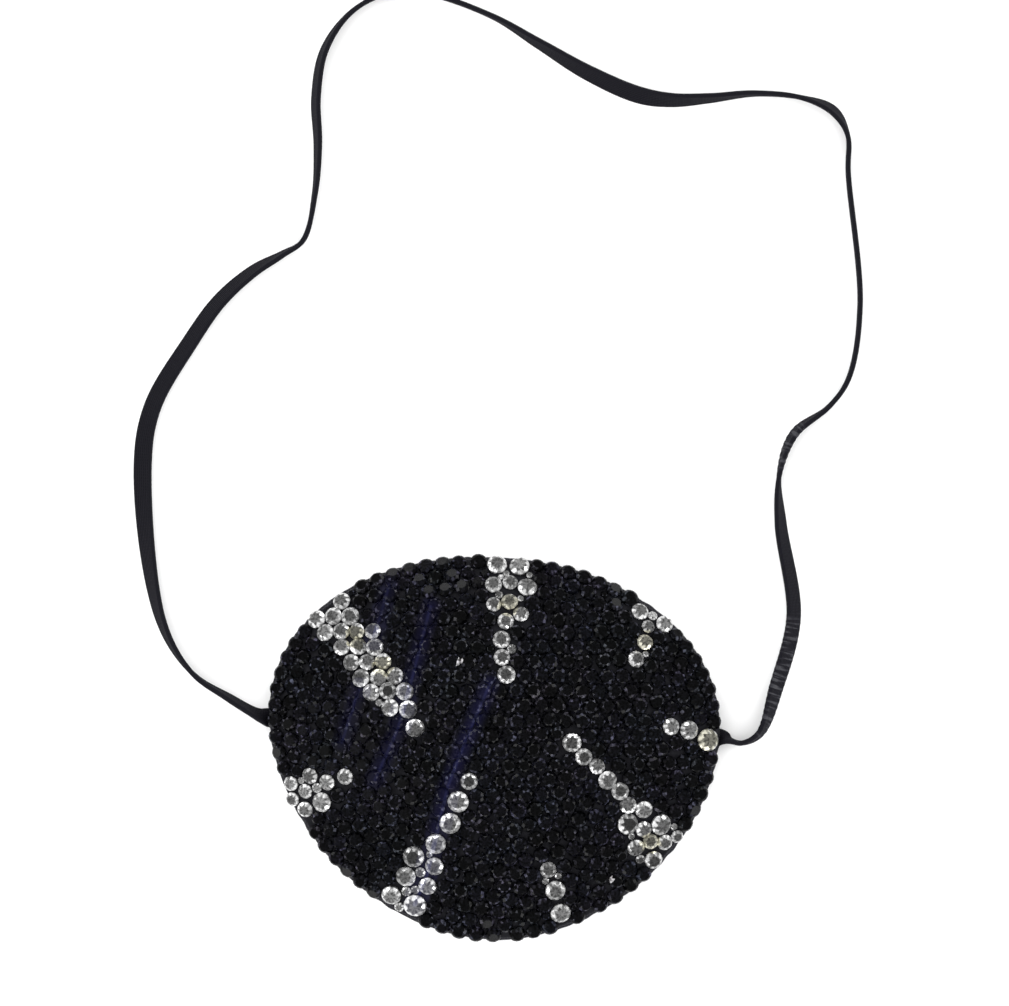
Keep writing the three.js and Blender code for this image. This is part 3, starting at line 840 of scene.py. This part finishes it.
def edge_profile():
    """The folded edge: flat where it stands, round outside, and up to the cover on top."""
    top = COVER_TOP - COVER_THICKNESS
    return [
        (0.940, 0.12), (0.948, 0.0), (0.962, 0.0), (0.978, 0.0), (0.990, 0.3), (0.995, 1.0), (0.994, 1.6),
        (0.988, 2.05), (0.975, hollow_height(0.975) + top - 0.03), (0.955, hollow_height(0.955) + top - 0.05),
        (0.938, hollow_height(0.938) + top - 0.2), (0.936, 1.8), (0.936, 0.8),
    ]


def make_edge():
    puckers = fabric_ripple(PUCKER_DEPTH, PUCKERS)
    ring = turned("folded_edge", edge_profile(), 3 * SEGMENTS, puckers)
    finish_piece(ring, woven_black(), "cover_fabric", "edge_binding")


# ---------------------------------------------------------------------------------------------
# Threads
# ---------------------------------------------------------------------------------------------
THREAD = 0.26
WHIP_STITCHES = 96
STITCH_SLANT = 0.028        # radians round the edge
CLEAR_OF_ELASTIC = 0.09     # no stitches where the angle's sine is less: the elastic comes in there
TACK_THREAD = 0.24
TACK_POINTS = 13
TACK_HALF_WIDTH = 1.35


def thread_mesh(name, runs, thickness=THREAD, sides=7):
    """Short lengths of thread, each a round tube with closed ends along its own line of points."""
    points, faces = [], []
    for run in runs:
        line = smooth_line(run, 0.18)
        tangents = np.gradient(line, axis=0)
        tangents /= np.linalg.norm(tangents, axis=1, keepdims=True)
        reference = np.array([0.13, 0.31, 0.94])
        side = np.cross(tangents, reference)
        side /= np.linalg.norm(side, axis=1, keepdims=True)
        other = np.cross(tangents, side)
        start = len(points)
        for k, (middle, a, b) in enumerate(zip(line, side, other)):
            ease = math.sin(math.pi * min(1, 0.25 + 3 * min(k, len(line) - 1 - k) / len(line)) / 2)
            for i in range(sides):
                turn = i / sides * 2 * math.pi
                points.append(middle + (a * math.cos(turn) + b * math.sin(turn)) * thickness / 2 * ease)
        rings = len(line)
        faces += [tuple(start + i for i in face) for face in tube_faces(rings, sides, closed=False)]
        faces.append(tuple(start + i for i in reversed(range(sides))))
        faces.append(tuple(start + (rings - 1) * sides + i for i in range(sides)))
    return mesh_object(name, points, faces)


def make_whip_stitches():
    """Slanted stitches that close the felt to the folded edge, all round the back."""
    runs = []
    for k in range(WHIP_STITCHES):
        angle = (k + 0.2 * rng.random()) / WHIP_STITCHES * 2 * math.pi
        if abs(math.sin(angle)) < CLEAR_OF_ELASTIC:
            continue
        shares = np.array([0.955, 0.94, 0.925, 0.905, 0.893])
        heights = np.array([0.16, 0.2, 0.7, hollow_height(0.905) - 0.16, hollow_height(0.893) + 0.1])
        slant = angle + np.linspace(0, STITCH_SLANT, len(shares))
        runs.append(np.column_stack([at_shares(shares, slant), heights]))
    piece = thread_mesh("whip_stitches", runs)
    finish_piece(piece, black_thread(), "thread")


# ---------------------------------------------------------------------------------------------
# Elastic
# ---------------------------------------------------------------------------------------------
BAND_WIDTH = 3.3
BAND_THICKNESS = 0.85
BAND_RIBS = 9
RIB_HEIGHT = 0.06
BAND_STEP = 0.32
CROSS_RIB_PITCH = 1.05
CROSS_RIB_SWELL = 0.1       # as a share of the band's thickness
LIFT = 0.03                 # between the band and the surface that it lies on

# The free elastic's route from the left edge to the right one: x, y and roll in degrees.
BAND_ROUTE = [
    (-39.4, 5.6, 55), (-44.9, 8.7, 78), (-51, 12.8, 92), (-56.2, 21.5, 113), (-59.4, 46.8, 157),
    (-57.8, 57.5, 152), (-51.4, 68.6, 142), (-46.3, 75.7, 134), (-40.6, 80.7, 121), (-35.9, 83.4, 103),
    (-32.3, 85.8, 91), (-30.3, 93.7, 97), (-29.8, 101.9, 106), (-30.1, 110, 110), (-28.7, 117.9, 107),
    (-24.4, 124.1, 96), (-18.5, 127.4, 91), (-12, 127.6, 90), (-0.5, 123.7, 89), (7.5, 119, 71),
    (15.8, 114.1, 48), (24.3, 110.4, 39), (29.8, 109.5, 55), (36.3, 109.8, 73), (44, 110.6, 87),
    (51.8, 109.9, 95), (57.2, 107.7, 113), (59.6, 103.6, 94), (59.7, 97.2, 91), (61.7, 75, 90),
    (59.8, 62.6, 90), (56.5, 57.8, 90), (50.6, 53.2, 74), (48.1, 46.4, 90), (48.3, 38, 120),
    (50.5, 22.4, 132), (47.5, 10.2, 131), (44.8, 2.6, 105), (41.8, 1, 92), (39.4, 1.5, 76),
]
# Where the band's cross ribs show: stretches between points of the route, counted from 0.
RIBBED = [(31.6, 33.1), (34.9, 37.2)]
LEFT_END_Y = 5.2
RIGHT_END_Y = 1.8
END_HEIGHT = 0.65
END_BELOW_LINING = 0.95


def resting_height(roll):
    turn = math.radians(roll)
    return (BAND_WIDTH * abs(math.sin(turn)) + BAND_THICKNESS * abs(math.cos(turn))) / 2 + LIFT


def end_points(side, y):
    """The stitched end, from its tip on the lining out through the edge: x, y, z and roll."""
    points = []
    for share in (0.79, 0.85, 0.9, 0.94, 0.985):
        z = max(END_HEIGHT, hollow_height(share) - END_BELOW_LINING)
        points.append((side * share * HALF_WIDTH, y, z, 0))
    return points


def band_line():
    """Points along the whole band: x, y, z, roll, and place along the route."""
    free = [(x, y, resting_height(roll), roll, k) for k, (x, y, roll) in enumerate(BAND_ROUTE)]
    left = [(*point, -1) for point in end_points(-1, LEFT_END_Y)]
    right = [(*point, len(BAND_ROUTE)) for point in reversed(end_points(1, RIGHT_END_Y))]
    return smooth_line(left + free + right, BAND_STEP)


def band_section():
    """Offsets across and through the band, once round it, with lengthwise ribs on both faces."""
    across = np.linspace(-1, 1, 4 * BAND_RIBS + 1)
    rounding = (1 - np.abs(across) ** 16) ** 0.5
    rib = RIB_HEIGHT * np.abs(np.cos(across * BAND_RIBS * math.pi / 2))
    through = rounding * (BAND_THICKNESS / 2 - RIB_HEIGHT + rib)
    face = np.column_stack([across * BAND_WIDTH / 2, through])
    back = face[1:-1][::-1] * [1, -1]
    return np.concatenate([face, back])


def how_ribbed(place):
    return max(min(1, max(0, 4 * min(place - start, end - place))) for start, end in RIBBED)


def make_elastic():
    line = band_line()
    middle, roll, place = line[:, :3], np.radians(line[:, 3]), line[:, 4]
    tangents = np.gradient(middle, axis=0)
    tangents /= np.linalg.norm(tangents, axis=1, keepdims=True)
    level = np.cross([0, 0, 1], tangents)
    level /= np.linalg.norm(level, axis=1, keepdims=True)
    upright = np.cross(tangents, level)
    wide = level * np.cos(roll)[:, None] + upright * np.sin(roll)[:, None]
    thick = np.cross(tangents, wide)
    along = np.concatenate([[0], np.cumsum(np.linalg.norm(np.diff(middle, axis=0), axis=1))])
    section = band_section()
    points, places = [], []
    for k, point in enumerate(middle):
        ribbed = how_ribbed(place[k])
        swell = 1 + CROSS_RIB_SWELL * ribbed * math.sin(along[k] * 2 * math.pi / CROSS_RIB_PITCH)
        for a, b in section:
            points.append(point + wide[k] * a + thick[k] * b * swell)
            places.append((a, along[k], ribbed))
    around = len(section)
    faces = tube_faces(len(middle), around, closed=False)
    faces.append(tuple(reversed(range(around))))
    faces.append(tuple((len(middle) - 1) * around + i for i in range(around)))
    band = mesh_object("elastic_band", points, faces)
    layer = band.data.attributes.new("band_place", "FLOAT_VECTOR", "POINT")
    layer.data.foreach_set("vector", np.array(places, np.float32).ravel())
    band.data.materials.append(knitted_elastic())
    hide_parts("elastic_strap", "elastic_end_left", "elastic_end_right")
    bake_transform(band)


def make_bar_tacks():
    """A dense zigzag of thread across each end of the elastic, on the side that faces the wearer."""
    thread = black_thread()
    for side, name, y in ((-1, "left", LEFT_END_Y), (1, "right", RIGHT_END_Y)):
        share = np.linspace(0.83, 0.875, TACK_POINTS)
        wide = np.where(np.arange(TACK_POINTS) % 2 == 0, -TACK_HALF_WIDTH, TACK_HALF_WIDTH)
        below = hollow_height(share) - END_BELOW_LINING - BAND_THICKNESS / 2 - 0.12
        zigzag = np.column_stack([side * share * HALF_WIDTH, y + wide, below])
        piece = thread_mesh("zigzag_tack_" + name, [zigzag], TACK_THREAD)
        finish_piece(piece, thread, "thread", "bar_tack_" + name)


# ---------------------------------------------------------------------------------------------
# Studio
# ---------------------------------------------------------------------------------------------
VIEW_WIDTH = 170.5
VIEW_CENTRE = (1.7, 41.5)
CAMERA_HEIGHT = 1200
SENSOR_WIDTH = 36
FLOOR_REACH = 3000
FLOOR_HEIGHT = -0.05        # just under the patch's flat underside


def make_camera():
    camera = bpy.data.objects.new("camera", bpy.data.cameras.new("camera"))
    camera.data.sensor_width = SENSOR_WIDTH
    camera.data.lens = SENSOR_WIDTH * CAMERA_HEIGHT / VIEW_WIDTH
    camera.data.clip_end = 100
    camera.location = Vector((*VIEW_CENTRE, CAMERA_HEIGHT)) * MM
    bpy.context.scene.collection.objects.link(camera)
    bpy.context.scene.camera = camera


def make_floor():
    signs = ((-1, -1), (1, -1), (1, 1), (-1, 1))
    corners = [(FLOOR_REACH * x, FLOOR_REACH * y, FLOOR_HEIGHT) for x, y in signs]
    floor = mesh_object("floor", corners, [(0, 1, 2, 3)])
    floor.data.materials.append(pale_paper())


LOW_SOFTBOXES = 8           # in a ring, at elevations that few stones' tables mirror
LOW_ELEVATION = 16
LOW_SWAY = 3
LOW_SIZE = 0.55             # metres
LOW_RADIANCE = 12
HAZE = (185, 54, 1.0, 1.9)  # a large dim panel: azimuth, elevation, size and radiance
SURROUND = 1.3
SOFTBOX_DISTANCE = 1.9


def make_softbox(name, azimuth, elevation, size, radiance):
    light = bpy.data.lights.new(name, "AREA")
    light.shape = "SQUARE"
    light.size = size
    light.energy = radiance * math.pi * size ** 2
    made = bpy.data.objects.new(name, light)
    azimuth, elevation = math.radians(azimuth), math.radians(elevation)
    away = Vector((math.cos(azimuth) * math.cos(elevation), math.sin(azimuth) * math.cos(elevation),
                   math.sin(elevation)))
    made.location = away * SOFTBOX_DISTANCE
    made.rotation_euler = away.to_track_quat("Z", "Y").to_euler()
    bpy.context.scene.collection.objects.link(made)


def make_studio():
    """A bright even surround, with low softboxes that the stones mirror as glints."""
    world = bpy.data.worlds.new("studio")
    bpy.context.scene.world = world
    world.use_nodes = True
    surround = world.node_tree.nodes["Background"]
    surround.inputs["Color"].default_value = (1, 1, 1, 1)
    surround.inputs["Strength"].default_value = SURROUND
    for k in range(LOW_SOFTBOXES):
        azimuth = (k + 0.3) * 360 / LOW_SOFTBOXES
        elevation = LOW_ELEVATION + LOW_SWAY * (-1) ** k
        make_softbox("softbox_%d" % (k + 1), azimuth, elevation, LOW_SIZE, LOW_RADIANCE)
    make_softbox("haze_panel", *HAZE)
    bpy.context.scene.view_settings.view_transform = "Standard"


make_camera()
make_elastic()
make_bar_tacks()
make_stones()
make_layers()
make_edge()
make_whip_stitches()
make_floor()
make_studio()
